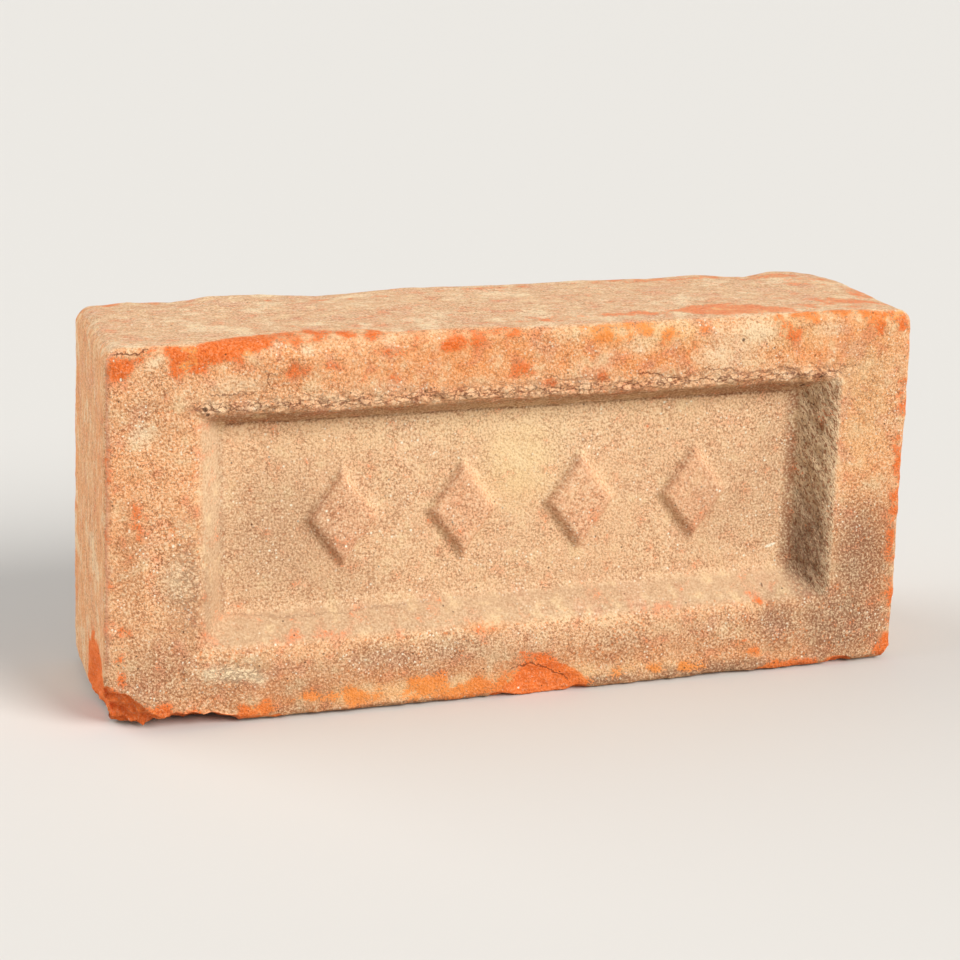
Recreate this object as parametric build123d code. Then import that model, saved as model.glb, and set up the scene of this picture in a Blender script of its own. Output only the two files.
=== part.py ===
from build123d import *
import math
import os

# Fired clay building brick with a frog, standing on its long narrow side.
# Millimetres, +Z up. X runs along the brick and Y through its thickness,
# from the frogged bed face at -Y to the plain bed face at +Y.
# The origin is under the middle of the brick, on the side that it stands on.

# Body: close to an old standard size, 8 1/4 by 3 3/4 by 2 1/4 inches
length = 209.5  # end to end, at half height
width = 96.5  # across the bed faces, upright here
thickness = 57.5  # from bed face to bed face
left_end_lean = 3.2  # the left end is out of square: its foot is this much further out

# Arrises, rounded in the mould and by wear
header_arris_radius = 4.0  # the four short edges, across the thickness
frog_face_arris_radius = 2.2  # round the frogged face
back_face_arris_radius = 3.5  # round the plain back face

# Frog: a shallow tapered recess, set by the borders round its rim
frog_depth = 7.5
frog_wall_run = 6.4  # how far a wall slopes inwards over the depth
frog_left_border = 24.1
frog_right_border = 21.3
frog_top_border = 16.8
frog_bottom_border = 20.1
frog_corner_radius = 2.5  # of the rim, seen from the front
frog_root_radius = 2.0  # where the walls meet the floor
frog_lip_radius = 1.6  # the worn edge of the rim

# Keying marks: a row of plain raised lozenges on the frog's floor
mark_count = 4
mark_pitch = 31.0
mark_width = 20.0  # at the floor
mark_height = 28.0
mark_relief = 2.2
mark_side_angle = 42.0  # slope of the sides, from the pressing direction
mark_edge_radius = 0.7
mark_root = 0.6  # how far a mark reaches into the clay under the floor

# Damage: flakes knocked out of the arrises, each the bite of a ball
corner_chip_radius = 32.0  # the left foot corner of the frogged face
corner_chip_bite = 8.0
corner_chip_way = (-0.45, -1.0, -0.75)  # towards the middle of its ball
foot_spall_radius = 40.0  # a long shallow flake up the left end from its foot
foot_spall_bite = 3.0
foot_spall_from_front = 14.0
foot_spall_rise = 5.0  # its ball's centre above the foot
middle_flake_radius = 45.0  # lower arris of the frogged face, near the middle
middle_flake_bite = 1.4
middle_flake_from_right = 98.0
middle_flake_drop = 4.0  # its ball's centre below the foot
toe_flake_radius = 40.0  # the same arris, near the left end
toe_flake_bite = 3.4
toe_flake_from_left = 23.0  # from the left foot
toe_flake_way = (0, -0.35, -1.0)  # towards the middle of its ball


def brick_outline():
    """The face of the brick from the front, as wide at its foot as the leaning end makes it."""
    left_foot = -(length + left_end_lean) / 2
    left_head = left_foot + left_end_lean
    right = length / 2
    centring = -(left_foot + right) / 2
    corners = [
        (left_foot + centring, 0),
        (right + centring, 0),
        (right + centring, width),
        (left_head + centring, width),
    ]
    outline = make_face(Polyline(*corners, close=True))
    return fillet(outline.vertices(), header_arris_radius), centring


def frog_cutter(front, right_end, left_end):
    """The die that presses the frog: a tapered slab with rounded corners."""
    rim_left = left_end + frog_left_border
    rim_right = right_end - frog_right_border
    rim_bottom = frog_bottom_border
    rim_top = width - frog_top_border
    rim_width = rim_right - rim_left
    rim_height = rim_top - rim_bottom
    place = Pos((rim_left + rim_right) / 2, (rim_bottom + rim_top) / 2)
    rim = front * place * Rectangle(rim_width, rim_height)
    wall_angle = math.degrees(math.atan2(frog_wall_run, frog_depth))
    die = extrude(rim, amount=-frog_depth, taper=wall_angle)
    rim_face, *_, floor_face = die.faces().sort_by(Axis.Y)
    flat_edges = rim_face.edges() + floor_face.edges()
    wall_corners = [edge for edge in die.edges() if edge not in flat_edges]
    die = fillet(wall_corners, frog_corner_radius)
    floor_edges = die.faces().sort_by(Axis.Y)[-1].edges()
    return fillet(floor_edges, frog_root_radius), place


def keying_mark():
    """One raised lozenge, centred on its own origin and standing towards +Z."""
    side_run = mark_root * math.tan(math.radians(mark_side_angle))
    in_radius = mark_width * mark_height / math.hypot(mark_width, mark_height) / 2
    grow = 1 + side_run / in_radius
    half_width = mark_width / 2 * grow
    half_height = mark_height / 2 * grow
    corners = [(half_width, 0), (0, half_height), (-half_width, 0), (0, -half_height)]
    lozenge = make_face(Polyline(*corners, close=True))
    raised = extrude(lozenge, amount=mark_root + mark_relief, taper=mark_side_angle)
    base = raised.faces().sort_by(Axis.Z)[0].edges()
    worn = [edge for edge in raised.edges() if edge not in base]
    return Pos(0, 0, -mark_root) * fillet(worn, mark_edge_radius)


def scoop(corner, way, radius, bite):
    """A ball whose middle lies this way from the corner, and that bites this deep there."""
    towards_middle = Vector(*way).normalized()
    return Pos(*(Vector(*corner) + towards_middle * (radius - bite))) * Sphere(radius)


def make_brick():
    outline, centring = brick_outline()
    body = extrude(Plane.XZ * outline, amount=thickness / 2, both=True)
    body = fillet(body.faces().sort_by(Axis.Y)[-1].edges(), back_face_arris_radius)
    body = fillet(body.faces().sort_by(Axis.Y)[0].edges(), frog_face_arris_radius)

    right_end = length / 2 + centring
    left_end = -length / 2 + centring
    front = Plane.XZ.offset(thickness / 2)
    die, frog_place = frog_cutter(front, right_end, left_end)
    body -= die
    rim = body.faces().sort_by(Axis.Y)[0].inner_wires()[0].edges()
    body = fillet(rim, frog_lip_radius)

    floor = Plane.XZ.offset(thickness / 2 - frog_depth)
    for place in range(mark_count):
        along = (place - (mark_count - 1) / 2) * mark_pitch
        body += floor * frog_place * Pos(along, 0) * keying_mark()

    front_y = -thickness / 2
    left_foot = left_end - left_end_lean / 2
    toe = left_foot + toe_flake_from_left
    middle = right_end - middle_flake_from_right
    spall_y = front_y + foot_spall_from_front
    body -= scoop(
        (left_foot, front_y, 0),
        corner_chip_way,
        corner_chip_radius,
        corner_chip_bite,
    )
    body -= scoop(
        (left_foot, spall_y, 0),
        (-foot_spall_radius, 0, foot_spall_rise),
        foot_spall_radius,
        foot_spall_bite,
    )
    body -= scoop(
        (middle, front_y, 0),
        (0, -middle_flake_radius, -middle_flake_drop),
        middle_flake_radius,
        middle_flake_bite,
    )
    body -= scoop(
        (toe, front_y, 0),
        toe_flake_way,
        toe_flake_radius,
        toe_flake_bite,
    )
    return body


os.makedirs("parts", exist_ok=True)
brick = make_brick()
export_step(brick, "parts/brick.step")
size = brick.bounding_box().size
print("brick", len(brick.solids()), "solid", round(brick.volume), "mm3", size)
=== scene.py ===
import math
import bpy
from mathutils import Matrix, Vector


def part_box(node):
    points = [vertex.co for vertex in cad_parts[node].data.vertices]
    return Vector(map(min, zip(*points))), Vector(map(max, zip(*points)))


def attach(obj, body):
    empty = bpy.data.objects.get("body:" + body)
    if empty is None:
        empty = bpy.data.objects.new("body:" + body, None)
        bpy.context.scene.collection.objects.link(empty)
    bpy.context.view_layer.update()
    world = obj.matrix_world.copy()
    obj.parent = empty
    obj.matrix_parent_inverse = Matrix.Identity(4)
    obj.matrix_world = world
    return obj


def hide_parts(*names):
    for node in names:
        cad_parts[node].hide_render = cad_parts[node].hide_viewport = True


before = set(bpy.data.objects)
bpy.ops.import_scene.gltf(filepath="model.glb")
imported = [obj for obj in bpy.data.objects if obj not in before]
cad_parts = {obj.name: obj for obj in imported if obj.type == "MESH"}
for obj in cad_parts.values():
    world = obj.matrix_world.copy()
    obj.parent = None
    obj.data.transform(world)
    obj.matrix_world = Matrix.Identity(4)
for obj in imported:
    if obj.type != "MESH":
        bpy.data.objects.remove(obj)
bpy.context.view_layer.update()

from types import SimpleNamespace

import bpy
import numpy as np
from mathutils import Euler, Vector, noise

mm = 0.001

# the camera stands in front of the brick, to its left, and looks down on it
view = {
    "place": (-166.6, -530.8, 213.1),  # mm, from the middle of the foot
    "turn": (73.62, -0.90, -16.95),  # degrees
    "lens": 83.25,
    "sensor": 36.0,
    "clip": (0.01, 20.0),  # m
}


def makeCamera():
    lens = bpy.data.cameras.new("camera")
    lens.lens = view["lens"]
    lens.sensor_width = view["sensor"]
    lens.clip_start, lens.clip_end = view["clip"]
    camera = bpy.data.objects.new("camera", lens)
    camera.location = Vector(view["place"]) * mm
    camera.rotation_euler = Euler([math.radians(angle) for angle in view["turn"]], "XYZ")
    bpy.context.collection.objects.link(camera)
    bpy.context.scene.camera = camera


makeCamera()
print("camera set")

# the block, in mm; its outer sizes come from the frame
low, high = (np.array(corner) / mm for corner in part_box("brick"))
block = {
    "left": -high[0],  # at the foot
    "right": high[0],
    "front": low[1],
    "back": high[1],
    "top": high[2],
    "lean": 3.2,  # how much further in the left end is at the top
    "endRound": 4.0,
    "frontRound": 2.2,
    "backRound": 3.6,
    "inset": 0.25,  # keeps the uneven skin inside the nominal size
    # where the top front arris is worn rounder: (along, radius), and how far down that starts and is full
    "topWear": [(-104, 2.0), (-90, 2.4), (-74, 4.6), (-45, 5.2), (-12, 3.0),
                (10, 2.6), (36, 4.4), (60, 4.2), (85, 3.2), (105, 3.0)],
    "topWearBelow": (14, 6),
    # the foot curls up: how far, from where along it, over what length and height, and the share at the right
    "footLift": 0.9,
    "liftFrom": 20,
    "liftLength": 125,
    "liftHeight": 30,
    "liftRight": 0.6,
    # how far the back top arris dips: (along, mm)
    "backDip": [(-104, 1.6), (-96, 1.0), (-89, 0.5), (-85, 1.1), (-78, 1.3), (-68, 0.0), (-55, 0.0),
                (-40, 1.3), (-26, 0.4), (-17, 0.0), (-3, 0.0), (18, 0.3), (34, 0.0), (51, 0.6), (67, 0.3),
                (81, 1.3), (88, 0.0), (96, 0.3), (105, 1.6)],
    "backDipFrom": 8,  # through
    "rightDip": 0.7,  # how far the top sinks at its right end
    "rightDipFrom": 90,  # along
    "dipHeight": 12,  # how far down a dip reaches
    # where the sandy front gives way to the smooth top: (along, through)
    "smoothFrom": [(-105, -28.6), (-90, -28.4), (-80, -27.0), (-69, -21.5), (-58, -18.6), (-48, -18.6),
                   (-39, -20.4), (-30, -25.0), (-10, -24.6), (0, -27.4), (20, -27.5), (44, -26.5),
                   (75, -25.8), (105, -26.5)],
    "smoothBlend": 1.2,
    "sandyRim": 6,  # mm round the frog that are sandy however they are turned
    "frontTurn": (0.2, 0.7),  # how squarely a face looks to the front before it is all sandy
    "wrapTurn": (0.2, 0.5),  # how far it has turned up before the sand wraps over it
}

frog = {
    "left": -79.85,
    "right": 84.25,
    "bottom": 20.1,
    "top": 78.7,
    "depth": 7.5,
    "runs": (5.9, 7.6, 6.6, 4.3),  # how far the left, right, bottom and top walls slope inwards
    "run": 6.4,  # the even slope that distances in from the rim are measured on
    "corner": 0.45,
    "mitre": 0.6,  # how softly one wall takes over from the next
    "sharpLip": 1.76,  # above and on the right
    "wornLip": 3.52,
    "root": 2.0,
    "topRoot": 0.3,
    "calmWander": 0.1,  # how ragged the smooth walls are
    "roughWander": 0.45,  # what the walls above and on the right have on top of that
    # bands, as distances in from the rim
    "hollowFrom": (-0.5, 5.0),
    "wallFrom": (-1.5, 1.0),
    "wallTo": (5.2, 7.2),
    "crumbBand": (-2.7, 3.3),  # its middle and half its width
    "crumbLift": 0.05,
    "crumbHeight": 1.25,
    "tornFrom": (-2.6, 0.4),
    "tornTo": (5.2, 6.4),
    "tearSlant": 0.45,
}

marks = {
    "count": 4,
    "pitch": 31.0,
    "halfWide": 10.0,
    "halfHigh": 14.0,
    "relief": 2.2,
    "side": 2.0,  # width of the sloping side
    "topRound": 0.5,
    "footRound": 0.3,
    "fade": 0.12,  # share of the relief that is lost towards the right
    "fadeFrom": -2,
    "topFrom": (0.4, 1.6),  # heights between which the side becomes the top
}

# flakes knocked off, each the bite of a ball: corner, way out, radius, bite, roughness
flakes = {
    "cornerChip": ((block["left"], block["front"], 0), (-0.45, -1, -0.75), 32.0, 8.0, 1.4),
    "footSpall": ((block["left"], -14.75, 0), (-1, 0, 0.125), 40.0, 2.8, 0.4),
    "middleFlake": ((7.55, block["front"], 0), (0, -1, -0.089), 45.0, 1.5, 0.2),
    "toeFlake": ((-85.0, block["front"], 0), (0, -0.35, -1), 34.0, 3.4, 0.6),
    "toeNick": ((-62.0, block["front"], 0), (0, -0.6, -1), 18.0, 0.9, 0.4),
    "leftNick": ((-4.0, block["front"], 0), (0, -0.4, -1), 7.0, 1.6, 0.5),
    "rightNick": ((16.0, block["front"], 0), (0, -0.4, -1), 6.0, 1.6, 0.5),
    "farNick": ((89.5, block["front"], 0), (0, -0.5, -1), 8.0, 1.8, 0.5),
    "rightFoot": ((block["right"], block["front"], 0), (1, -0.8, -0.7), 12.0, 2.8, 0.4),
}

# the mesh's lines: how many cells, and where they lie closer together: (place, reach, gain)
lattice = {
    "cells": (296, 46, 144),  # along, through, up; the first and last are even
    "along": [(frog["left"] + 3, 5, 0.7), (frog["right"] - 3, 5, 0.7), (block["left"], 6, 0.8),
              (block["right"], 6, 0.6)],
    "through": [(block["front"], 5, 1.8), (block["back"], 5, 0.7)],
    "up": [(frog["top"] - 1, 5, 1.1), (frog["bottom"] + 3, 5, 0.3), (0, 6, 0.8), (block["top"], 6, 0.8)],
}

# the uneven skin: how high its lumps are, how wide (one number, or one for each axis), octaves, seed
lumps = {
    "arris": (0.3, 14, 3, 1),  # share of the radius
    "flake": (0.8, 5.0, 2, 2),
    "wallLine": (0.4, 16, 2, 5),
    "wallRagged": (1.0, (5, 3, 3), 3, 6),
    "depth": (0.02, 40, 1, 7),  # share of the frog's depth
    "markEdge": (0.22, 5.0, 3, 8),
    "waver": (0.26, 34, 2, 10),
    "uneven": (0.13, 9, 3, 11),
    "borderFine": (0.22, 2.2, 3, 12),
    "borderCoarse": (0.17, 5, 2, 13),
    "floorFine": (0.09, 2.2, 3, 14),
    "floorCoarse": (0.08, 8, 2, 15),
    "markTop": (0.12, 2.0, 3, 16),
    "crumbs": (0.7, (3.6, 2, 1.5), 3, 17),
    "tears": (0.55, (1.2, 2, 3.6), 3, 18),
    "dragged": (0.10, (40, 2.2, 2.2), 2, 19),
    "slick": (0.06, 3, 2, 24),
    "worn": (0.25, 3.5, 3, 20),
    "broken": (0.25, 2.0, 3, 21),
    "smoothEdge": (1.2, (9, 3, 3), 3, 22),
}

# and its broken facets: how high, how wide, seed
facets = {
    "flake": (0.8, 3.4, 3),
    "broken": (0.35, 3.0, 23),
    "crumbs": (0.3, (2.6, 2, 1.6), 25),
}
seedStep = 31.7  # how far apart the seeds lie in the noise


# shaping helpers, all in mm
def ease(value, start, end):
    t = np.clip((value - start) / (end - start), 0, 1)
    return t * t * (3 - 2 * t)


def softMin(a, b, blend):
    near = np.maximum(blend - np.abs(a - b), 0) / blend
    return np.minimum(a, b) - near * near * blend / 4


def softMax(a, b, blend):
    return -softMin(-a, -b, blend)


def ridge(value, middle, halfWidth):
    # 1 in the middle, falling off softly on both sides
    return np.exp(-(((value - middle) / halfWidth) ** 2))


def along(table, value):
    # reads a list of (place, amount) pairs
    places, amounts = zip(*table)
    return np.interp(value, places, amounts)


def lumpy(points, name):
    # soft noise, about minus to plus its height
    height, size, octaves, seed = lumps[name]
    scaled = points / np.array(size) + seed * seedStep
    return height * np.array([noise.fractal(p, 1.0, 2.0, octaves) for p in scaled.tolist()])


def craggy(points, name):
    # broken facets, about minus to plus their height
    height, size, seed = facets[name]
    scaled = points / np.array(size) + seed * seedStep
    nearest = np.array([noise.voronoi(p)[0][0] for p in scaled.tolist()])
    return height * (nearest * 2 - 1)


def gradedSteps(start, end, count, closer):
    # count steps from start to end, closer together round each place
    samples = 4001  # many more than the steps
    fine = np.linspace(start, end, samples)
    weight = np.ones_like(fine)
    for place, reach, gain in closer:
        weight += gain * ridge(fine, place, reach)
    travelled = np.cumsum(weight) - weight[0]
    return np.interp(np.linspace(0, travelled[-1], count + 1), travelled, fine)


def sheet(grid, outward):
    # the quads of a grid of point numbers
    corners = [grid[:-1, :-1], grid[1:, :-1], grid[1:, 1:], grid[:-1, 1:]]
    if not outward:
        corners.reverse()
    return np.stack([corner.ravel() for corner in corners], axis=1).tolist()


def backSheet(grid, countX, countZ):
    # quads twice as wide for the plain back, joined at its rim to every point of the sides
    faces = []
    for a in range(0, countX, 2):
        for c in range(0, countZ, 2):
            ring = [(a, c), (a + 2, c), (a + 2, c + 2), (a, c + 2)]
            onRim = [c == 0, a + 2 == countX, c + 2 == countZ, a == 0]
            face = []
            for start, end, hasMiddle in zip(ring, ring[1:] + ring[:1], onRim):
                face.append(start)
                if hasMiddle:
                    face.append(((start[0] + end[0]) // 2, (start[1] + end[1]) // 2))
            faces.append([int(grid[p, q]) for p, q in reversed(face)])
    return faces


def latticeSkin():
    # a closed box of quads, close together along the arrises and round the frog
    countX, countY, countZ = lattice["cells"]
    xs = gradedSteps(block["left"], block["right"], countX, lattice["along"])
    ys = gradedSteps(block["front"], block["back"], countY, lattice["through"])
    zs = gradedSteps(0, block["top"], countZ, lattice["up"])
    i, j, k = np.meshgrid(np.arange(countX + 1), np.arange(countY + 1), np.arange(countZ + 1), indexing="ij")
    rim = (i == 0) | (i == countX) | (k == 0) | (k == countZ)
    shell = rim | (j == 0) | ((j == countY) & (i % 2 == 0) & (k % 2 == 0))
    number = np.full(shell.shape, -1)
    number[shell] = np.arange(shell.sum())
    points = np.stack([xs[i[shell]], ys[j[shell]], zs[k[shell]]], axis=1)
    faces = sheet(number[:, 0, :], True) + sheet(number[0], False) + sheet(number[-1], True)
    faces += sheet(number[:, :, 0], False) + sheet(number[:, :, -1], True)
    faces += backSheet(number[:, -1, :], countX, countZ)
    return points, faces, j[shell] == 0


def waysOut(mesh, points):
    # the way out at each point
    mesh.vertices.foreach_set("co", (points * mm).ravel())
    mesh.update()
    ways = np.empty(len(points) * 3)
    mesh.vertex_normals.foreach_get("vector", ways)
    return ways.reshape(-1, 3)


def roundArrises(points):
    # rounds the outline seen from the front, then rolls it over to the front and back faces
    tiny = 1e-9  # keeps a division from failing
    x, y, z = points.T.copy()
    halfX, halfZ = block["right"], block["top"] / 2
    end = block["endRound"]
    z -= halfZ
    dx = x - np.clip(x, -halfX + end, halfX - end)
    dz = z - np.clip(z, -halfZ + end, halfZ - end)
    reach = np.maximum(np.hypot(dx, dz), tiny)
    squeeze = np.where(dx * dz != 0, np.maximum(np.abs(dx), np.abs(dz)) / reach, 1)
    x += dx * (squeeze - 1)
    z += dz * (squeeze - 1)

    # how far in from the outline, and the way out
    px, pz = np.abs(x) - halfX + end, np.abs(z) - halfZ + end
    outX, outZ = np.maximum(px, 0), np.maximum(pz, 0)
    corner = np.hypot(outX, outZ)
    inside = end - corner - np.minimum(np.maximum(px, pz), 0)
    atCorner = corner > 1e-6
    wayX = np.where(atCorner, outX / np.maximum(corner, tiny), px > pz) * np.sign(x)
    wayZ = np.where(atCorner, outZ / np.maximum(corner, tiny), px <= pz) * np.sign(z)

    worn = np.zeros_like(x)
    wobble = 1 + lumpy(points, "arris")
    wearFrom, wearFull = block["topWearBelow"]
    topFront = ease(z, halfZ - wearFrom, halfZ - wearFull)
    frontRadius = block["frontRound"] * (1 - topFront) + along(block["topWear"], x) * topFront
    for side, radius, depth in (
        (-1, frontRadius * wobble, y - block["front"]),
        (1, block["backRound"] * wobble, block["back"] - y),
    ):
        a, b = np.maximum(radius - inside, 0), np.maximum(radius - depth, 0)
        near = (a > 0) & (b > 0)
        length = np.maximum(np.hypot(a, b), tiny)
        x += np.where(near, wayX * (radius * a / length - a), 0)
        z += np.where(near, wayZ * (radius * a / length - a), 0)
        y += np.where(near, side * (radius * b / length - b), 0)
        worn = np.maximum(worn, np.where(near, 1 - np.abs(a - b) / radius, 0))
    return np.stack([x, y, z + halfZ], axis=1), worn


def knockFlakes(points):
    roughReach = 3  # mm outside the ball that its roughness may touch
    bareEdge = (-0.6, 0.3)  # mm inside the ball between which the bare clay starts
    fresh = np.zeros(len(points))
    for corner, way, radius, bite, rough in flakes.values():
        away = np.array(way) / np.linalg.norm(way)
        centre = np.array(corner) + away * (radius - bite)
        span = points - centre
        distance = np.linalg.norm(span, axis=1)
        near = distance < radius + roughReach
        ball = np.full(len(points), radius)
        ball[near] += rough * (lumpy(points[near], "flake") + craggy(points[near], "flake"))
        cut = near & (distance < ball)
        fresh[near] = np.maximum(fresh[near], ease((ball - distance)[near], *bareEdge))
        points[cut] = centre + span[cut] * (ball[cut] / distance[cut])[:, None]
    return points, fresh


def raiseMarks(points, u, v):
    # the height of the row of lozenges, which are worn lower on their right
    raised = np.zeros(len(points))
    inRadius = marks["halfWide"] * marks["halfHigh"] / math.hypot(marks["halfWide"], marks["halfHigh"])
    ragged = lumpy(points, "markEdge")
    for place in range(marks["count"]):
        across = u - (place - (marks["count"] - 1) / 2) * marks["pitch"]
        margin = (1 - np.abs(across) / marks["halfWide"] - np.abs(v) / marks["halfHigh"]) * inRadius + ragged
        height = softMin(margin * marks["relief"] / marks["side"], marks["relief"], marks["topRound"])
        height = softMax(height, 0, marks["footRound"])
        lost = marks["fade"] * ease(across, marks["fadeFrom"], marks["halfWide"])
        raised = np.maximum(raised, height * (1 - lost))
    return raised


def pressFrog(points, onFront):
    u = points[:, 0] - (frog["left"] + frog["right"]) / 2
    v = points[:, 2] - (frog["bottom"] + frog["top"]) / 2
    halfU, halfV = (frog["right"] - frog["left"]) / 2, (frog["top"] - frog["bottom"]) / 2

    # how far down the slope of each wall, then of the nearest one
    leftRun, rightRun, bottomRun, topRun = frog["runs"]
    downEnd = np.minimum((halfU + u) / leftRun, (halfU - u) / rightRun)
    downSide = np.minimum((halfV + v) / bottomRun, (halfV - v) / topRun)
    into = softMin(downEnd, downSide, frog["corner"]) * frog["run"]
    mitre = frog["mitre"]
    towardsTop = ease(downEnd - downSide, -mitre, mitre) * (v > 0) * onFront
    towardsRight = ease(downSide - downEnd, -mitre, mitre) * (u > 0) * onFront
    towardsLeft = ease(downSide - downEnd, -mitre, mitre) * (u < 0) * onFront

    rough = np.maximum(towardsTop, towardsRight)
    ragged = frog["calmWander"] + frog["roughWander"] * rough
    wander = lumpy(points, "wallLine") + ragged * lumpy(points, "wallRagged")
    slope = (into + wander) * frog["depth"] / frog["run"]
    lip = frog["sharpLip"] + (frog["wornLip"] - frog["sharpLip"]) * (1 - rough)
    root = frog["root"] + (frog["topRoot"] - frog["root"]) * towardsTop
    depth = softMax(softMin(slope, frog["depth"], root), 0, lip)
    depth *= 1 + lumpy(points, "depth")
    raised = raiseMarks(points, u, v) * (onFront & (into > frog["run"]))
    points[:, 1] += depth * onFront - raised
    return points, {
        "into": into,
        "wall": ease(into, *frog["wallFrom"]) * (1 - ease(into, *frog["wallTo"])) * onFront,
        "towardsTop": towardsTop,
        "towardsRight": towardsRight,
        "towardsLeft": towardsLeft,
        "hollow": ease(into, *frog["hollowFrom"]) * onFront,
        "raised": raised,
    }


def bendBlock(points):
    # the foot curls up towards its ends, and the back top arris dips here and there
    x, y, z = points.T
    curl = np.clip((block["liftFrom"] - x) / block["liftLength"], -block["liftRight"], 1) ** 2
    z += block["footLift"] * curl * (1 - ease(z, 0, block["liftHeight"]))
    dip = along(block["backDip"], x) * ease(y, block["backDipFrom"], block["back"])
    dip += block["rightDip"] * ease(x, block["rightDipFrom"], block["right"])
    z -= dip * ease(z, block["top"] - block["dipHeight"], block["top"])


def sandyFinish(points, ways, zones, onFront):
    # the sandy finish of the front, which wraps over the worn top arris
    atFrog = onFront & (zones["into"] > -block["sandyRim"])
    struck = np.where(atFrog, 1, ease(-ways[:, 1], *block["frontTurn"]))
    wrap = along(block["smoothFrom"], points[:, 0]) - points[:, 1] + lumpy(points, "smoothEdge")
    wrapped = ease(wrap, -block["smoothBlend"], block["smoothBlend"]) * ease(ways[:, 2], *block["wrapTurn"])
    return np.maximum(struck, wrapped)


def sculptBrick(mesh, points, onFront):
    points, worn = roundArrises(points)
    leanShare = (block["right"] - points[:, 0]) / (2 * block["right"])
    points[:, 0] += block["lean"] * points[:, 2] / block["top"] * leanShare
    points, fresh = knockFlakes(points)
    points, zones = pressFrog(points, onFront)
    bendBlock(points)
    ways = waysOut(mesh, points)
    struck = sandyFinish(points, ways, zones, onFront)
    border = struck * (1 - zones["hollow"])

    # the crumbling lip above the frog, and the torn wall at its right
    into = zones["into"]
    crumb = ridge(into, *frog["crumbBand"]) * zones["towardsTop"]
    torn = ease(into, *frog["tornFrom"]) * (1 - ease(into, *frog["tornTo"])) * zones["towardsRight"]
    tops = ease(zones["raised"], *marks["topFrom"])
    slanted = points + points[:, 2:] * (frog["tearSlant"], 0, 0)
    crumbs = lumpy(points, "crumbs") + craggy(points, "crumbs")

    relief = lumpy(points, "waver") + lumpy(points, "uneven")
    relief += border * (lumpy(points, "borderFine") + lumpy(points, "borderCoarse"))
    relief += zones["hollow"] * (lumpy(points, "floorFine") + lumpy(points, "floorCoarse"))
    relief += tops * lumpy(points, "markTop")
    relief += crumb * (frog["crumbLift"] + frog["crumbHeight"] * crumbs)
    relief += torn * lumpy(slanted, "tears")
    relief += (1 - struck) * (lumpy(points, "dragged") + lumpy(points, "slick"))
    relief += worn * lumpy(points, "worn")
    relief += fresh * (lumpy(points, "broken") + craggy(points, "broken"))
    points += ways * (relief - block["inset"])[:, None]
    points[:, 2] -= points[:, 2].min()
    zones.update(struck=struck, crumb=crumb, torn=torn, worn=worn, fresh=fresh, tops=tops)
    return points, zones, ways


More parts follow.
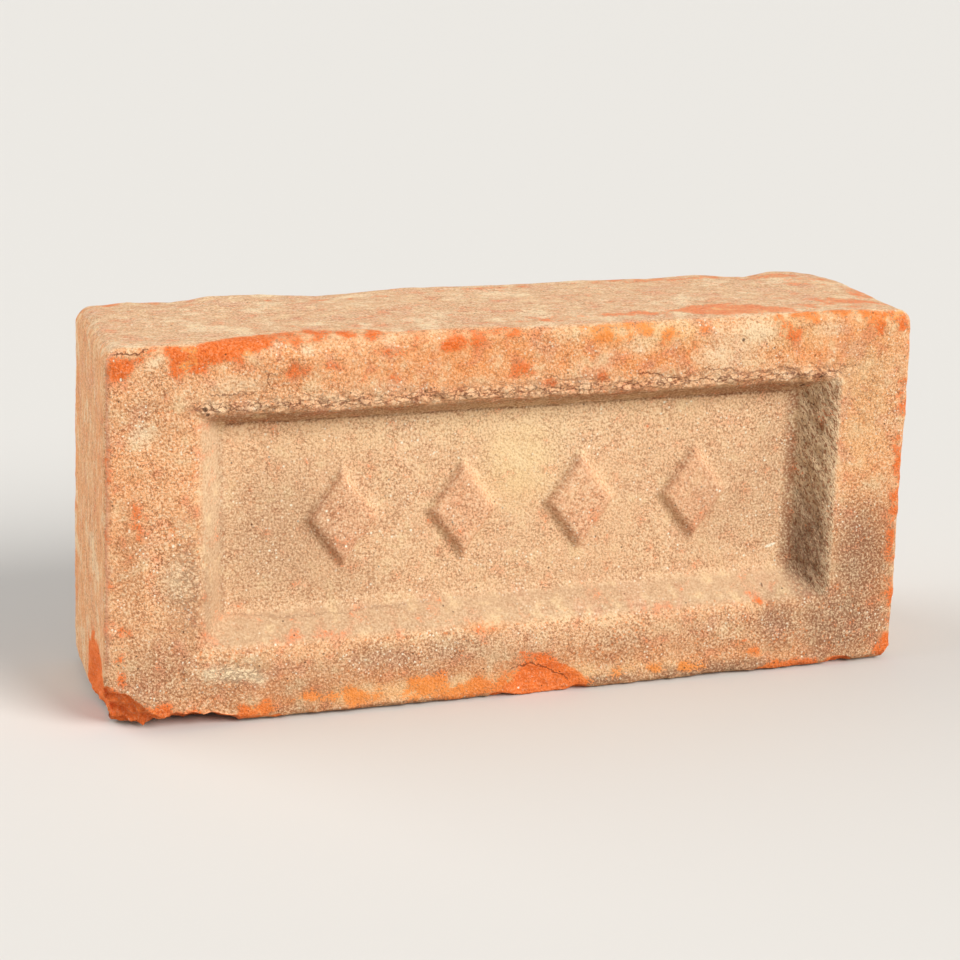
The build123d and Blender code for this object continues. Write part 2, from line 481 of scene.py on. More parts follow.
# where the finish changes, in mm; front places are (along, up), end places (through, up),
# top places (along, through); a dab is (place, place, half width, half height, turn, strength)
paint = {
    # skin that is warmer than the rest
    "warmFront": [
        (-60, 90, 28, 8, 0, 0.6), (-13, 89, 34, 8, 0, 0.9), (28, 89, 30, 8, 0, 1.0),
        (82, 89, 26, 8, 0, 0.9), (95, 66, 10, 26, 0, 0.6), (100, 27, 5, 26, 0, 0.6),
        (-99, 61, 7, 36, 0, 0.45), (-88, 67, 8, 26, 0, 0.3), (-40, 6, 50, 6, 0, 0.7), (9, 9, 40, 7, 0, 0.7),
        (68, 6, 40, 4, 0, 0.5), (-9, 19, 6, 2, 0, 0.6),
    ],
    # sooty skin, and painted shade on the frog's floor
    "sootAndShadeFront": [
        (-15, 14, 12, 4.5, -4, 0.7), (26, 11, 14, 5, 0, 0.6), (72, 13, 7, 8, 0, 0.9),
        (90, 12, 16, 13, 0, 1.0), (95, 29, 10, 18, 0, 1.0), (-92, 14, 12, 12, 0, 0.6),
        (-84, 34, 8, 12, 0, 0.4), (-56, 8, 14, 5, 0, 0.6), (-36, 14, 12, 4, 0, 0.6),
        (-60, 45, 18, 18, 0, 0.45), (-47, 33, 16, 8, 0, 0.3), (58, 45, 12, 14, 0, 0.25),
        (80, 30, 5, 16, 0, 0.9), (5, 27, 60, 4, 0, 0.12), (-20, 11, 60, 5, 0, 0.5),
        (50, 11, 34, 6, 0, 0.35), (54, 2, 22, 3.0, 0, 1.0), (24, 2.4, 12, 1.8, 0, 0.95),
        (-30, 0.6, 28, 1.5, 0, 0.85), (-57, 3, 10, 1.6, 0, 0.7), (-98, 40, 4, 20, 0, 0.35),
        (70, 50, 5, 22, 0, 0.3), (-74, 10, 12, 8, 0, 0.5), (-92, 80, 10, 6, 0, 0.25),
    ],
    # pale skin, and painted light along the top of the frog's floor
    "paleFront": [
        (-85.5, 39, 5, 6, 0, 0.5), (-94, 75, 3.6, 2.6, 30, 0.7), (61.8, 92, 6, 3.5, 0, 0.8),
        (55, 89, 8, 5, 0, 0.6), (52, 87, 7, 4, 0, 0.65), (-77, 61, 4, 20, 0, 0.25), (9, 15, 40, 5, 0, 0.25),
        (-72, 86, 8, 2.5, 0, 0.5), (-69, 16.7, 2, 1, 0, 0.6), (-90.5, 92.6, 2.4, 1.2, 30, 0.8),
        (-54, 93.4, 1.6, 1.2, 0, 0.9), (30, 91, 5, 3, 0, 0.5), (82, 92, 5, 2, 0, 0.5),
        (-5, 72, 46, 7, 0, 0.3), (4, 64, 12, 10, 0, 0.3),
    ],
    # dry cream clay, crazed all over
    "paleOutlines": [
        [(-81.5, 14.5), (-78.2, 15.5), (-72.8, 15), (-67.9, 13.7), (-65.1, 11.6), (-66.2, 10.1),
         (-69.1, 11.5), (-74.1, 11.7), (-80.3, 13.1)],
    ],
    # yellow skin, and painted light along the top of the frog's floor
    "yellowFront": [
        (2, 62, 10, 12, 0, 0.9), (-3, 71, 24, 6, 0, 0.45), (-40, 71, 24, 5, 0, 0.2),
        (36, 73, 24, 5, 0, 0.2), (-25, 5, 22, 3, 0, 0.6), (24, 5, 20, 2.5, 0, 0.5), (-45, 5, 10, 3, 0, 0.6),
        (36, 93, 12, 4, 0, 0.6), (70, 92, 12, 5, 0, 0.45), (22, 94, 10, 3, 0, 0.4), (93, 73, 9, 22, 0, 0.4),
    ],
    # where the bare clay is more yellow, and broken up by the sand
    "amberFront": [
        (-34, 4, 32, 6, 0, 0.85), (10, 3, 16, 4, 0, 0.4), (40, 4, 30, 5, 0, 0.9), (26, 94, 24, 5, 0, 0.8),
        (82, 95, 22, 3, 0, 0.5),
    ],
    # bare orange clay: outlines, and dabs where it is only rubbed
    "orangeFront": [
        [(-89.2, 95.2), (-87, 97.5), (-62, 97.5), (-62.5, 95.7), (-65.1, 93.9), (-66.8, 92.6),
         (-74.7, 91.8), (-78, 91.5), (-80, 89.9), (-83.5, 88.9), (-86.6, 89.8), (-87, 92.2), (-87.4, 94.2)],
        [(-101.3, 93.5), (-99, 94.5), (-96.3, 93.2), (-96.1, 90.8), (-97.1, 88.7), (-99.4, 89.1),
         (-101.2, 91.1)],
        [(9.9, 95.8), (13, 97), (28.6, 97), (28.1, 92.1), (23.7, 91.5), (19.2, 92), (15.7, 94),
         (11.8, 94.7)],
        [(65.5, 94.8), (66.5, 98), (104.5, 98), (103.2, 89.3), (100.8, 91), (98.3, 93.2), (96.3, 90.2),
         (93.8, 92.9), (87.5, 95), (81.8, 95.3), (77.7, 94.2), (73.5, 94.7), (69.3, 95.9), (67.3, 92.9)],
        [(-106, 12.5), (-102.9, 12.3), (-101.1, 10.3), (-97.5, 8.1), (-93.9, 6.9), (-89, 6.7), (-88.1, 5),
         (-81.7, 4.3), (-79.2, 3.5), (-81.7, -1), (-106, -1)],
        [(-72.5, 5.0), (-69.2, 5.6), (-64.4, 5.4), (-63.6, 2.5), (-66.3, -1), (-72.5, -1)],
        [(-32.7, 3.5), (-29.6, 7.2), (-25.7, 8.7), (-20.5, 8.8), (-16.5, 5.6), (-12.6, 6.3), (-7.2, 6.3),
         (-4.5, 2.2), (-9.8, 0.1), (-20.4, 0.3), (-31.4, 1.7)],
        [(-49.5, 5), (-46.4, 7.3), (-43.4, 8.1), (-40.3, 5.9), (-36.7, 6.6), (-34.1, 4.2), (-36.6, 2.6),
         (-45.2, 2.6)],
        [(-59.7, 5.2), (-57.6, 7.1), (-54.1, 7.3), (-51, 4.8), (-53.6, 3.8), (-57.7, 3.9)],
        [(-6.1, 1.9), (-5.6, 5.1), (-3.3, 7.3), (-0.3, 8.5), (2.9, 8.8), (7.5, 7.3), (11.6, 5), (14.7, 2.5),
         (16, -1), (-5, -1)],
        [(66.3, 1), (70.5, 3.1), (79.2, 2.3), (86.5, 2.4), (91.6, 1.4), (91, -1), (67, -1)],
        [(98.7, 1.5), (102, 4.4), (103.8, 8.5), (106.4, 5.4), (106, -1), (99, -1)],
    ],
    "orangeFrontDabs": [
        (2, 10.9, 6, 1.6, 0, 0.75), (7.5, 9.3, 5, 1.6, -25, 0.7), (18.5, 3.5, 3.5, 2, 0, 0.8),
        (26.7, 4.4, 3.5, 2, 0, 0.85), (37.8, 4.1, 3, 1.6, 0, 0.7), (46.3, 3.5, 4.5, 2.2, 0, 0.9),
        (66, 5.8, 4, 1.6, 0, 0.8), (61.5, 9.6, 2.5, 1.6, 0, 0.6), (-100.8, 17.7, 2, 5, 0, 0.8),
        (-99.1, 26.8, 2.5, 2, 0, 0.5), (-8.8, 19.2, 4, 1.2, 0, 0.7), (65.6, 19.3, 2, 1.2, 0, 0.7),
        (-17.7, 93.2, 7, 2, 6, 0.8), (-31.9, 92.2, 6, 1.6, 0, 0.6), (1.6, 85.6, 6, 2, 0, 0.6),
        (7.4, 82.5, 2, 1.6, 0, 0.6), (-5, 95.5, 6, 1.5, 0, 0.6), (32.8, 95.4, 4, 3, 0, 0.7),
        (37.7, 93.1, 4, 3, 0, 0.5), (44.3, 88.2, 3, 3, 0, 0.45), (20.5, 83.3, 1.5, 2, 0, 0.6),
        (47.5, 94.7, 4, 2.5, 0, 0.55), (70, 92, 4, 3, 0, 0.6), (-58, 96.5, 46, 2.0, 0, 0.62),
        (-92.7, 94.4, 4, 2, 0, 0.6), (-58, 89, 5, 2, 0, 0.4), (-36, 85, 8, 2, 0, 0.4),
        (-51, 89, 5, 2, 0, 0.4), (104, 60, 2.4, 36, 0, 0.65), (103.5, 20, 2.4, 18, 0, 0.65),
        (-103, 60, 1.6, 34, 0, 0.3), (-96, 52, 3, 12, 0, 0.4), (-50, 57, 3, 1.2, 0, 0.4),
        (-20, 17.5, 5, 1.4, 6, 0.45),
    ],
    "orangeEnd": [
        [(-9, 21.3), (-1.3, 14.8), (0.7, 11.4), (-1.2, 9.4), (-7, 7.9), (-18.3, 7.5), (-30, 9.0),
         (-30, 14.2), (-25.5, 16.9), (-20.1, 19.6), (-14.6, 20.7)],
    ],
    "orangeTop": [
        [(42.3, -16.8), (50.6, -11.5), (59, -11.5), (67.9, -16.2), (74.5, -20.3), (75, -26), (53.9, -24),
         (46.9, -20.3)],
    ],
    "orangeTopDabs": [
        (8, 21, 12, 1.6, 0, 0.7), (-36.7, 16.3, 16, 1.6, 0, 0.5), (49.8, 22.9, 18, 3.4, 0, 0.55),
        (67.6, 23.3, 12, 4, 0, 0.6), (84.5, 21, 12, 4.5, -20, 0.7), (95, 11.5, 8, 7, 0, 0.6),
        (92, -16, 10, 6, -10, 0.75), (101, -6.6, 5, 10, 0, 0.7), (-83.8, -7.2, 4, 1.6, 0, 0.5),
        (-94.9, -3.6, 4, 2, 0, 0.5), (4.2, -21, 18, 1.8, 0, 0.5), (22, -19, 16, 2.6, 0, 0.6),
        (-49.8, 16.7, 9, 1.2, 0, 0.4), (36, -18, 12, 3, 0, 0.6), (-90, 23.5, 16, 2.4, 0, 0.7),
        (80, -20, 16, 3, 0, 0.6),
    ],
    "warmEnd": [
        (23, 62, 5, 50, 0, 0.7), (-19, 72, 5, 30, 0, 0.4), (9, 32, 5, 30, 0, 0.3),
    ],
    # crazed all over with fine cracks
    "crazedFront": [
        (-84, 38, 4.5, 16, 0, 0.55), (-72, 13, 9, 4, 0, 0.75), (-60, 88, 8, 4, 0, 0.3),
        (92, 76, 6, 12, 0, 0.3), (-68, 84, 8, 3, 0, 0.4),
    ],
    # cracks seen on the front: how dark, then from end to end
    "cracks": [
        (0.9, [(-64.7, 90), (-64, 88.1), (-63.8, 85.6), (-63.3, 84.1)]),
        (0.7, [(-64.2, 89.3), (-62.5, 88.5), (-61.1, 86.9)]),
        (1.0, [(-101, 95.4), (-99, 94.8), (-97.1, 95.2), (-94.8, 94.6), (-92.5, 95.7), (-90.1, 96)]),
        (0.8, [(-78.6, 84.8), (-76.3, 83.9), (-73.4, 83.7), (-70.5, 84.3), (-68.1, 83.7), (-65.7, 84.5)]),
        (0.7, [(-57, 84.2), (-54.6, 82.9), (-51.7, 81.7), (-48.7, 80.6), (-44.8, 80.8), (-41.3, 81.3),
                (-40.8, 82.5)]),
        (0.8, [(-26.4, 81.2), (-24.8, 81.9), (-21.3, 81.2), (-17.5, 81.7), (-13.7, 82), (-9.9, 81)]),
        (0.7, [(4.3, 83.5), (7.4, 84), (10.8, 82.6), (14.7, 83.1), (19, 82.4), (23.2, 82.9)]),
        (1.0, [(29, 84.1), (30.6, 83.3), (34.6, 83.3), (37.1, 81.6), (40.9, 81.4), (42.5, 80.6)]),
        (0.8, [(46.7, 83.9), (50.8, 82.9), (54.4, 83.2), (58.3, 81.7), (63.2, 82), (68.7, 82.7),
                (74.3, 81.9)]),
        (1.0, [(-79.4, 81.9), (-78.9, 80.9), (-78.3, 79.4)]),
        (0.45, [(-71.5, 26.4), (-66.5, 26.2), (-61.5, 25.2), (-55.2, 24.9), (-49.6, 24.9), (-43.7, 24.9),
                (-39.4, 25.3), (-34.7, 25.4), (-30, 25.3), (-26.4, 25.8), (-21.7, 25.9)]),
        (0.9, [(-3.3, 7.6), (0.2, 8.4), (3.4, 8.8), (6.1, 7.9), (8.9, 6.3), (12.2, 4.6), (14.4, 2.7)]),
        (0.6, [(-80.7, 15.3), (-78, 14.2), (-75.1, 12.8), (-72.6, 13.4), (-69.1, 12.3), (-66.1, 12.7)]),
        (0.6, [(-79, 12.5), (-75.6, 11.8), (-72.1, 11.2), (-69.1, 11.2)]),
    ],
    # dark pits, and painted shade in the frog's inner corners: (along, up, radius)
    "pits": [
        (10.2, 31.4, 0.4), (68.1, 23.2, 0.45), (18.2, 20.9, 0.35), (-50.5, 20.1, 0.4), (-59.7, 72.1, 0.3),
        (-54.5, 72.2, 0.25), (-33.6, 88, 0.35), (58, 90.4, 0.5), (-96.5, 17, 0.45), (-41, 82.3, 0.4),
        (-25, 82, 0.5), (76.4, 76.9, 0.6), (79.8, 79.8, 0.5), (-78.9, 80.6, 0.6), (-78.3, 79.2, 0.5),
        (74.8, 35.9, 0.45), (32.7, 83.6, 0.35), (-18.6, 82.4, 0.35),
    ],
    # a white splinter on the frog's floor: its ends and its half thickness
    "splinter": ((70.7, 32.5), (73.1, 32.9), 0.42),
}

# where each finish lies on the sculpted brick; pairs are the values between which it comes in
spread = {
    "outline": 3,  # mm over which an outline fades
    "dab": (0.3, 1.5),  # half widths between which a dab fades
    "crackEnd": (0, 1.5),
    "crackSide": (1.2, 2.2),
    "none": -3.0,  # mm, well outside every pit and splinter
    "upTurn": (0.3, 0.8),
    "topHeight": (70, 85),
    "endTurn": (0.3, 0.8),
    "endPlace": (70, 90),
    "endStreaks": (0.62, 0.78),
    "backTurn": (0.5, 0.8),
    "backSand": 0.8,
    "amberBreaks": 0.38,  # share of the orange that the sand takes back there
    "orangeDab": 0.8,
    "orangeTop": 0.9,
    "paleGain": 1.8,
    "paleCut": 0.2,
    "rightRoot": (0.6, 1.3),  # past the foot of the wall, and half width
    "leftRoot": (-0.2, 1.0),
    "leftRootShade": 0.5,
    "topWallFrom": (0.4, 1.6),
    "topWallTo": (6.0, 6.7),
    "crevice": 0.45,
    "sideTurn": (0, 0.3),
    "mauvePlace": (96, 101),
    "mauveHeight": (12, 24),
}


def dabs(u, v, spots):
    painted = np.zeros_like(u)
    for centreU, centreV, halfU, halfV, turn, strength in spots:
        c, s = math.cos(math.radians(turn)), math.sin(math.radians(turn))
        du, dv = u - centreU, v - centreV
        away = np.hypot((c * du + s * dv) / halfU, (c * dv - s * du) / halfV)
        painted = np.maximum(painted, strength * (1 - ease(away, *spread["dab"])))
    return painted


def segmentReach(u, v, start, end):
    # distance to a straight stretch, which side of it a point is on, and how far along
    du, dv = end[0] - start[0], end[1] - start[1]
    share = np.clip(((u - start[0]) * du + (v - start[1]) * dv) / (du * du + dv * dv), 0, 1)
    offU, offV = u - start[0] - share * du, v - start[1] - share * dv
    return np.hypot(offU, offV), np.sign(du * offV - dv * offU), share


def insideOutlines(u, v, outlines):
    # 0.5 on an outline, 1 well inside it and 0 well outside
    painted = np.zeros_like(u)
    for corners in outlines:
        inside = np.zeros(len(u), bool)
        nearest = np.full(len(u), np.inf)
        for start, end in zip(corners, corners[1:] + corners[:1]):
            nearest = np.minimum(nearest, segmentReach(u, v, start, end)[0])
            if start[1] != end[1]:
                crossing = start[0] + (v - start[1]) * (end[0] - start[0]) / (end[1] - start[1])
                inside ^= ((start[1] > v) != (end[1] > v)) & (u < crossing)
        depth = np.where(inside, nearest, -nearest) / spread["outline"]
        painted = np.maximum(painted, 0.5 + np.clip(depth, -0.5, 0.5))
    return painted


def crackLines(u, v, cracks):
    # the signed distance to the nearest crack, and how dark it is there
    nearest = np.full(len(u), 9.0)  # mm, further than a crack shows
    signed = nearest.copy()
    gape = np.zeros(len(u))
    for dark, line in cracks:
        lengths = [math.dist(start, end) for start, end in zip(line, line[1:])]
        passed = 0
        for start, end, length in zip(line, line[1:], lengths):
            distance, side, share = segmentReach(u, v, start, end)
            closer = distance < nearest
            place = passed + share * length
            toEnd = np.minimum(place, sum(lengths) - place)
            shown = ease(toEnd, *spread["crackEnd"]) * (1 - ease(distance, *spread["crackSide"]))
            nearest = np.where(closer, distance, nearest)
            signed = np.where(closer, distance * side, signed)
            gape = np.where(closer, dark * shown, gape)
            passed += length
    return signed, gape


def pitsShadePocketsAndSplinter(x, z, onFront):
    # how far inside each one a point is
    pits = np.full(len(x), spread["none"])
    for pitX, pitZ, radius in paint["pits"]:
        pits = np.maximum(pits, radius - np.hypot(x - pitX, z - pitZ))
    start, end, halfThick = paint["splinter"]
    splinter = halfThick - segmentReach(x, z, start, end)[0]
    return np.where(onFront, pits, spread["none"]), np.where(onFront, splinter, spread["none"])


def frogShades(zones, ways, onFront):
    # the smooth walls, and painted shade on the top wall, along the walls' feet and on the marks' left sides
    into, foot = zones["into"], frog["run"]
    towardsTop, towardsRight = zones["towardsTop"], zones["towardsRight"]
    walls = zones["wall"] * (1 - towardsTop) * (1 - towardsRight)
    topWall = ease(into, *spread["topWallFrom"]) * (1 - ease(into, *spread["topWallTo"])) * towardsTop
    rightAt, rightHalf = spread["rightRoot"]
    leftAt, leftHalf = spread["leftRoot"]
    rightRoot = ridge(into, foot + rightAt, rightHalf) * towardsRight
    leftRoot = ridge(into, foot + leftAt, leftHalf) * zones["towardsLeft"] * spread["leftRootShade"]
    share = np.clip(zones["raised"] / marks["relief"], 0, 1)
    return {
        "calm": np.clip(walls + rightRoot + topWall, 0, 1),
        "shadowed": np.maximum(np.maximum(topWall, rightRoot), leftRoot),
        "crevice": ridge(into, foot, spread["crevice"]) * towardsTop,
        # painted shade on the marks' sides that face away from the key light
        "sides": 4 * share * (1 - share) * ease(-ways[:, 0], *spread["sideTurn"]) * onFront,
        "tops": zones["tops"] * onFront,
    }


def bareOrange(points, front, top, leftEnd, amber):
    x, y, z = points.T
    orange = insideOutlines(x, z, paint["orangeFront"]) * front * (1 - spread["amberBreaks"] * amber)
    for more in (
        dabs(x, z, paint["orangeFrontDabs"]) * spread["orangeDab"] * front,
        insideOutlines(y, z, paint["orangeEnd"]) * leftEnd,
        insideOutlines(x, y, paint["orangeTop"]) * spread["orangeTop"] * top,
        dabs(x, y, paint["orangeTopDabs"]) * spread["orangeDab"] * top,
    ):
        orange = np.maximum(orange, more)
    return orange


def paintMasks(points, zones, ways, onFront):
    x, y, z = points.T
    front = zones["struck"]
    top = (1 - front) * ease(ways[:, 2], *spread["upTurn"]) * ease(z, *spread["topHeight"])
    leftEnd = (1 - front) * ease(-ways[:, 0], *spread["endTurn"]) * ease(-x, *spread["endPlace"])
    amber = dabs(x, z, paint["amberFront"]) * front
    pale = insideOutlines(x, z, paint["paleOutlines"]) * spread["paleGain"] - spread["paleCut"]
    pale = np.maximum(dabs(x, z, paint["paleFront"]), pale)
    mauve = zones["worn"] * ease(-x, *spread["mauvePlace"]) * ease(z, *spread["mauveHeight"]) * onFront
    signed, gape = crackLines(x, z, paint["cracks"])
    pits, splinter = pitsShadePocketsAndSplinter(x, z, onFront)
    masks = frogShades(zones, ways, onFront)
    masks.update({
        "struck": np.maximum(front, spread["backSand"] * ease(ways[:, 1], *spread["backTurn"])),
        "hollow": zones["hollow"],
        "amber": amber,
        "crazed": np.maximum(zones["crumb"], dabs(x, z, paint["crazedFront"]) * onFront),
        "torn": zones["torn"],
        "crumb": zones["crumb"],
        "fresh": zones["fresh"],
        "orange": bareOrange(points, front, top, leftEnd, amber),
        "ends": np.where(onFront, 0, ease(np.abs(ways[:, 0]), *spread["endStreaks"])),
        "mauve": mauve,
        "warm": np.maximum(dabs(x, z, paint["warmFront"]) * front, dabs(y, z, paint["warmEnd"]) * leftEnd),
        "soot": dabs(x, z, paint["sootAndShadeFront"]) * front,
        "pale": pale * front,
        "yellow": dabs(x, z, paint["yellowFront"]) * front,
        "crackSide": signed,
        "crackGape": gape * onFront,
        "pits": pits,
        "splinter": splinter,
    })
    return masks


def makeBrick(skin):
    points, faces, onFront = latticeSkin()
    mesh = bpy.data.meshes.new("pressed_brick")
    mesh.from_pydata((points * mm).tolist(), [], faces)
    print("brick blocked out:", len(points), "points")
    points, zones, ways = sculptBrick(mesh, points, onFront)
    mesh.vertices.foreach_set("co", (points * mm).ravel())
    mesh.polygons.foreach_set("use_smooth", [True] * len(mesh.polygons))
    print("brick sculpted")
    for name, values in paintMasks(points, zones, ways, onFront).items():
        mesh.attributes.new(name, "FLOAT", "POINT").data.foreach_set("value", values.astype(np.float32))
    mesh.materials.append(skin)
    mesh.update()
    piece = bpy.data.objects.new("pressed_brick", mesh)
    bpy.context.collection.objects.link(piece)
    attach(piece, "root")
    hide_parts("brick")
    print("brick painted:", len(mesh.polygons), "faces")


# colours are written as they look, 0 to 255; sizes are in mm
clay = {
    "sand": (250, 192, 142),
    "floor": (244, 200, 156),
    "topSkin": (228, 184, 142),  # faces smoothed by the mould and the wet board
    "endSkin": (244, 182, 129),
    "warm": (252, 164, 96),
    "pink": (240, 152, 112),
    "cream": (252, 222, 172),
    "calm": (214, 178, 140),
    "yellow": (255, 220, 160),
    "soot": (142, 104, 82),
    "mauve": (226, 160, 130),
    "pale": (255, 232, 192),
    "lightGrain": (255, 230, 192),
    "darkGrain": (150, 96, 62),
    "orangeGrain": (244, 148, 84),
    "orange": (242, 118, 44),
    "orangeDeep": (214, 90, 34),
    "orangeLight": (252, 160, 78),
    "orangeFresh": (255, 126, 54),
    "tornDarkAndShade": (178, 122, 86),
    "tornLight": (255, 222, 178),
    "shadowed": (180, 136, 102),
    "crackAndShade": (112, 52, 24),
    "pitAndShade": (66, 42, 28),
    "splinter": (255, 246, 222),
    # noises: size, detail, roughness
    "noises": {
        "broad": (20, 2, 0.55),
        "blotchy": (9, 3, 0.6),
        "patchy": (5, 4, 0.6),
        "worms": (1.5, 2, 0.6),
        "leather": (0.62, 3, 0.7),
    },
    # drawn-out noises: sizes along, through and up, turn in degrees, detail, roughness, curl
    "streaks": {
        "dragAlong": ((3.6, 0.8, 0.8), (0, 0, 0), 3, 0.7, 0.0),
        "dragDown": ((1.2, 1.2, 8), (0, 0, 0), 3, 0.6, 0.0),
        "strokes": ((0.36, 0.7, 1.5), (0, 25, 0), 2, 0.6, 0.8),
    },
    "net": (3.4, 2.0, 1.3),  # the fine cracks' meshes
    "netWaver": (1.6, 1.6, 1.6),
    "netWaverRate": 0.9,
    "netWaverDetail": 2.0,
    "grainSize": 0.8,
    "pitSize": 2.3,
    "gapWidth": 0.035,
    "tearRagged": 0.8,  # how far the strokes make the torn wall's edge ragged
    "crackHold": 0.2,  # how much less a gaping crack is broken up
    # what is left of the sand's grain
    "left": {"slick": 0.62, "hollow": 0.86, "calm": 0.5, "quiet": 0.5, "covered": 0.3, "outside": 0.35},
    # how strongly each finish shows
    "strength": {
        "sides": 0.45, "yellow": 0.8, "tops": 0.28, "mauve": 0.8, "tearing": 0.9, "sootyAndShaded": 0.9, "fresh": 0.75,
        "crackAndShade": 0.85, "pitAndShade": 0.8, "quietWarm": 0.6, "quietSootAndShade": 0.5, "quietCrumb": 0.7,
    },
    "grainHeight": 0.55,
    "streakHeight": 0.7,  # shares of the grain's height
    "strokeHeight": 3.4,
    "roughness": (0.3, 0.7, 0.86, 0.97),
    "specular": 0.25,
}

# where a noise starts and stops to show, and how strongly it shows there when that isn't 0 and 1
shows = {
    "grainyPatches": (0.35, 0.65, 0.75, 1.0),
    "warmMottle": (0.3, 0.65, 0.4, 1.2),
    "pinkMottle": (0.52, 0.68, 0.0, 0.5),
    "mauveMottle": (0.54, 0.66, 0.0, 0.4),
    "creamMottle": (0.46, 0.3, 0.0, 0.5),
    "shadeStreaks": (0.5, 0.62, 0.0, 0.5),
    "smears": (0.47, 0.36, 0.0, 0.6),
    "pinkStreaks": (0.52, 0.66, 0.0, 0.4),
    "paleStreaks": (0.48, 0.34, 0.0, 0.5),
    "sootStreaks": (0.6, 0.72, 0.0, 0.6),
    "lightStrokes": (0.42, 0.5),
    "tearing": (0.55, 0.95),
    "sootAndShadeSand": (0.36, 0.64, 1.0, 0.62),
    "paleSand": (0.36, 0.52, 0.4, 1.0),
    "orangeWaver": (0.25, 0.75, -0.42, 0.42),
    "orangeGrit": (0.25, 0.75, -0.36, 0.36),
    "rubbed": (0.38, 0.68),
    "broken": (0.3, 0.6),
    "lightOrange": (0.46, 0.34),
    "deepOrange": (0.5, 0.34),
    "orangeCover": (0, 1, 0.96, 0.6),  # from the front and the ends to the slick top
    "crumbLight": (0.35, 0.6, 0.45, 0.15),
    "lightGrains": (0.5, 0.62, 0.0, 0.75),
    "darkGrains": (0.49, 0.37, 0.0, 0.72),
    "gaps": (0.35, 0.6, 0.2, 0.8),
    "orangePicked": (0.8, 0.86),
    "orangeGrain": (0.55, 0.3, 0.0, 0.6),
    "quartzPicked": (0.82, 0.86),
    "quartzGrain": (0.4, 0.22, 0.0, 0.95),
    "quartzClusters": (0.45, 0.58, 0.15, 1.0),
    "crackWaver": (0.2, 0.8, -0.5, 0.5),
    "crackWidth": (0.28, 0.08),
    "crackBreaks": (0.5, 0.62),
    "netWidth": (0.14, 0.05),
    "netBreaks": (0.40, 0.52),
    "creviceShadeBreaks": (0.62, 0.4, 0.1, 0.75),
    "pitPicked": (0.84, 0.88),
    "pitGrain": (0.13, 0.08),
    "pitAndShadeRim": (-0.12, 0.12),
    "fleckGrain": (0.17, 0.10),
    "fleckClusters": (0.42, 0.56, 0.2, 1.0),
    "splinterRim": (-0.1, 0.1),
}

maskNames = (
    "struck", "hollow", "calm", "shadowed", "crevice", "tops", "sides", "amber", "crazed", "torn", "crumb",
    "fresh", "orange", "ends", "mauve", "warm", "soot", "pale", "yellow", "crackSide", "crackGape", "pits",
    "splinter",
)


def shade(colour):
    # from the look of a colour to the light it sends back
    parts = [part / 255 for part in colour]
    return [part / 12.92 if part <= 0.04045 else ((part + 0.055) / 1.055) ** 2.4 for part in parts] + [1]


def addNode(tree, kind, sockets=None, **settings):
    node = tree.nodes.new("ShaderNode" + kind)
    for name, value in settings.items():
        setattr(node, name, value)
    for name, value in (sockets or {}).items():
        if isinstance(value, bpy.types.NodeSocket):
            tree.links.new(value, node.inputs[name])
        else:
            node.inputs[name].default_value = value
    return node


def stretched(tree, place, size, turn=(0, 0, 0)):
    # the place in lumps of this size, one number for each axis
    scale = [1 / part for part in size]
    radians = [math.radians(angle) for angle in turn]
    turned = addNode(tree, "Mapping", {"Vector": place, "Rotation": radians}).outputs[0]
    return addNode(tree, "Mapping", {"Vector": turned, "Scale": scale}).outputs[0]


def cloudy(tree, place, size, detail, rough, curl=0.0):
    settings = {"Vector": place, "Scale": 1 / size, "Detail": detail, "Roughness": rough, "Distortion": curl}
    return addNode(tree, "TexNoise", settings).outputs["Fac"]


def grains(tree, place, size):
    # the distance to the nearest grain, and three numbers picked for it
    cells = addNode(tree, "TexVoronoi", {"Vector": place, "Scale": 1 / size})
    return cells.outputs["Distance"], addNode(tree, "SeparateColor", {0: cells.outputs["Color"]}).outputs


def crazedNet(tree, place):
    # the distance to the nearest of a net of fine wavering cracks
    rate = {"Vector": place, "Scale": clay["netWaverRate"], "Detail": clay["netWaverDetail"]}
    waver = addNode(tree, "TexNoise", rate).outputs["Color"]
    bending = {0: waver, 1: clay["netWaver"], 2: place}
    bent = addNode(tree, "VectorMath", bending, operation="MULTIPLY_ADD").outputs[0]
    net = {"Vector": stretched(tree, bent, clay["net"]), "Scale": 1.0}
    return addNode(tree, "TexVoronoi", net, feature="DISTANCE_TO_EDGE").outputs["Distance"]


def between(tree, value, start, end, low=0.0, high=1.0):
    sockets = {"Value": value, "From Min": start, "From Max": end, "To Min": low, "To Max": high}
    return addNode(tree, "MapRange", sockets, interpolation_type="SMOOTHSTEP").outputs[0]


def shown(tree, value, name):
    return between(tree, value, *shows[name])


def sums(tree, operation, a, b=0.0, clamp=False):
    return addNode(tree, "Math", {0: a, 1: b}, operation=operation, use_clamp=clamp).outputs[0]


def times(tree, a, b):
    return sums(tree, "MULTIPLY", a, b, True)


def highest(tree, first, *others):
    for other in others:
        first = sums(tree, "MAXIMUM", first, other)
    return first


def weakened(tree, value, name):
    return times(tree, value, clay["strength"][name])


def faded(tree, value, where, name):
    # less of a value where a mask is painted
    return times(tree, value, between(tree, where, 0, 1, 1.0, clay["left"][name]))


def either(tree, share, a, b):
    return addNode(tree, "Mix", {0: share, 2: a, 3: b}).outputs[0]


def nearMiddle(tree, value, width):
    # 1 along the lines where a noise crosses its middle
    middle, sharp = 0.5, width / 5
    off = sums(tree, "ABSOLUTE", sums(tree, "SUBTRACT", value, middle))
    return between(tree, off, width, sharp)


def tint(tree, share, skin, colour):
    other = colour if isinstance(colour, bpy.types.NodeSocket) else shade(clay[colour])
    return addNode(tree, "Mix", {0: share, 6: skin, 7: other}, data_type="RGBA").outputs[2]


def mottle(tree, skin, colour, where, value, name):
    # tints the skin inside a mask, where a noise shows
    return tint(tree, times(tree, where, shown(tree, value, name)), skin, colour)


